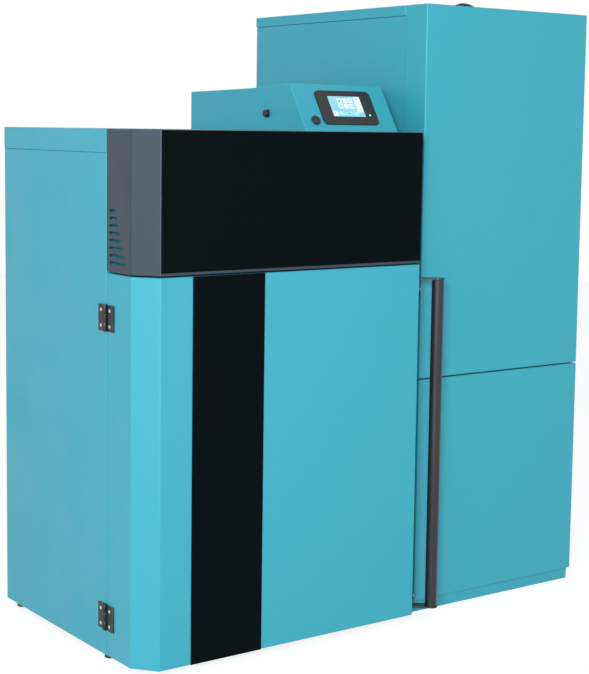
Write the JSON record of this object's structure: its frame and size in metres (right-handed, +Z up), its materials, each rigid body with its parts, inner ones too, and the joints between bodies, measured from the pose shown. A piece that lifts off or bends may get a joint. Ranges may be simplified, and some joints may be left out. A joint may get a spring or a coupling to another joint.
{
  "type": "pellet boiler",
  "caption": "Floor standing wood pellet boiler with a sloped touch console, a swinging front door and a tall pellet tank beside it.",
  "frame": {"origin": "on the floor under the middle of the whole set", "axes": "+X to the tank's side as seen from the front, +Y to the back, +Z up"},
  "size_m": [1.4068, 0.8786, 1.571],
  "materials": {
    "casing_paint": "fine textured turquoise powder coat, satin",
    "zinc_sheet": "zinc coated sheet",
    "hood_paint": "dark grey metallic powder coat",
    "black_panel": "smooth black paint, satin gloss",
    "handle_paint": "black powder coat, satin",
    "hinge_black": "black lacquer",
    "screw_steel": "bright zinc",
    "black_plastic": "black moulded plastic",
    "screen": "lit colour touch screen",
    "light": "lit green lamp",
    "vessel_paint": "black primer on boiler plate",
    "mineral_wool": "mineral wool mat",
    "cast_door": "cast, heat resistant black",
    "latch_steel": "plain steel",
    "fan_aluminium": "cast aluminium",
    "motor_paint": "grey motor lacquer",
    "flue_steel": "stainless sheet",
    "socket_steel": "plain steel",
    "drain_brass": "turned brass",
    "magnet": "magnet in a dark holder"
  },
  "bodies": {
    "boiler_and_tank": {"ash_box": "latch_steel", "ash_door": "cast_door", "auger_gear_motor": "motor_paint", "auger_tube": "zinc_sheet", "base_frame": "vessel_paint", "body_hinge_leaves": "hinge_black", "body_hinge_screws": "screw_steel", "boiler_vessel": "vessel_paint", "burner_body": "latch_steel", "cable_gland": "black_plastic", "chamber_door": "cast_door", "cleaning_actuator": "motor_paint", "console_cover": "casing_paint", "control_housing": "casing_paint", "display_bezel": "black_plastic", "display_screen": "screen", "door_magnet": "magnet", "drain_socket": "drain_brass", "exhaust_fan_housing": "fan_aluminium", "exhaust_fan_motor": "motor_paint", "flue_duct": "zinc_sheet", "flue_spigot": "flue_steel", "flue_tubes": "vessel_paint", "front_frame": "casing_paint", "heating_sockets": "socket_steel", "hinge_pins": "hinge_black", "hood_frame": "hood_paint", "hood_front_plate": "black_panel", "inner_door_latches": "latch_steel", "left_side_panel": "casing_paint", "levelling_feet": "black_plastic", "rear_panel": "zinc_sheet", "right_side_panel": "casing_paint", "smoke_box_cover": "zinc_sheet", "status_light": "light", "tank_casing": "casing_paint", "tank_front_lower": "casing_paint", "tank_front_upper": "casing_paint", "tank_hinge_leaves": "hinge_black", "tank_hopper": "zinc_sheet", "tank_plinth": "casing_paint", "thermostat_cap": "black_plastic", "top_cover": "casing_paint", "vessel_insulation": "mineral_wool"},
    "door": {"outer_door": "casing_paint", "door_strip": "black_panel", "door_stiffeners": "zinc_sheet", "handle_tube": "handle_paint", "handle_brackets": "handle_paint", "door_screws": "screw_steel", "door_hinge_leaves": "hinge_black"},
    "lid": {"tank_lid": "casing_paint", "lid_handle": "black_plastic", "lid_hinge_leaves": "hinge_black"},
    "auger": {"auger_screw": "latch_steel"},
    "impeller": {"exhaust_fan_impeller": "fan_aluminium"},
    "turbulator_set": {"turbulators": "latch_steel", "turbulator_beam": "latch_steel"},
    "grate": {"burner_grate": "latch_steel"},
    "button": {"power_button": "black_plastic"}
  },
  "joints": [
    {"name": "door_swing", "type": "hinge", "parent": "boiler_and_tank", "child": "door", "pos_m": [-0.6989, -0.25867, 0.4565], "axis": [0, 0, -1], "range_deg": [0, 110]},
    {"name": "lid_swing", "type": "hinge", "parent": "boiler_and_tank", "child": "lid", "pos_m": [0.4209, 0.38263, 1.519], "axis": [-1, 0, 0], "range_deg": [0, 95]},
    {"name": "auger_spin", "type": "hinge", "parent": "boiler_and_tank", "child": "auger", "pos_m": [0.4209, -0.02067, 0.56], "axis": [1, 0, 0], "continuous": true},
    {"name": "fan_spin", "type": "hinge", "parent": "boiler_and_tank", "child": "impeller", "pos_m": [-0.3441, 0.36933, 1.022], "axis": [0, 1, 0], "continuous": true},
    {"name": "turbulator_lift", "type": "slide", "parent": "boiler_and_tank", "child": "turbulator_set", "axis": [0, 0, 1], "range_m": [0, 0.025]},
    {"name": "grate_slide", "type": "slide", "parent": "boiler_and_tank", "child": "grate", "axis": [1, 0, 0], "range_m": [0, 0.04]},
    {"name": "button_press", "type": "slide", "parent": "boiler_and_tank", "child": "button", "axis": [0, 0.8455, -0.534], "range_m": [0, 0.0015], "stiffness_N_per_m": 600, "springref_m": -0.002}
  ]
}
